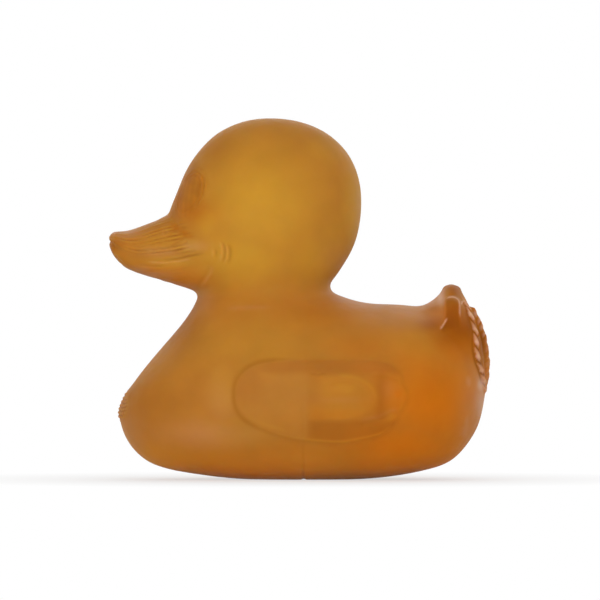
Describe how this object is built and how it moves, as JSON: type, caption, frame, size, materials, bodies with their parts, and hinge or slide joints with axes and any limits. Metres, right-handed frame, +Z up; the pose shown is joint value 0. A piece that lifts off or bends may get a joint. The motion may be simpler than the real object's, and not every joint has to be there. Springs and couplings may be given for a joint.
{
  "type": "rubber duck",
  "caption": "Bath duck moulded in one piece of translucent rubber, with a round head, a flat bill, low-relief wings and an upturned ribbed tail, standing on a small flat base.",
  "frame": {"origin": "on the table under the middle of the duck's length and width, bill tip and tail ribs included", "axes": "-X the way the bill points, +X to the tail, +Y to the duck's right side, +Z up"},
  "size_m": [0.1068, 0.0786, 0.101],
  "materials": {
    "natural_rubber": "satin"
  },
  "bodies": {
    "root": {"rubber_duck": "natural_rubber"}
  },
  "joints": []
}
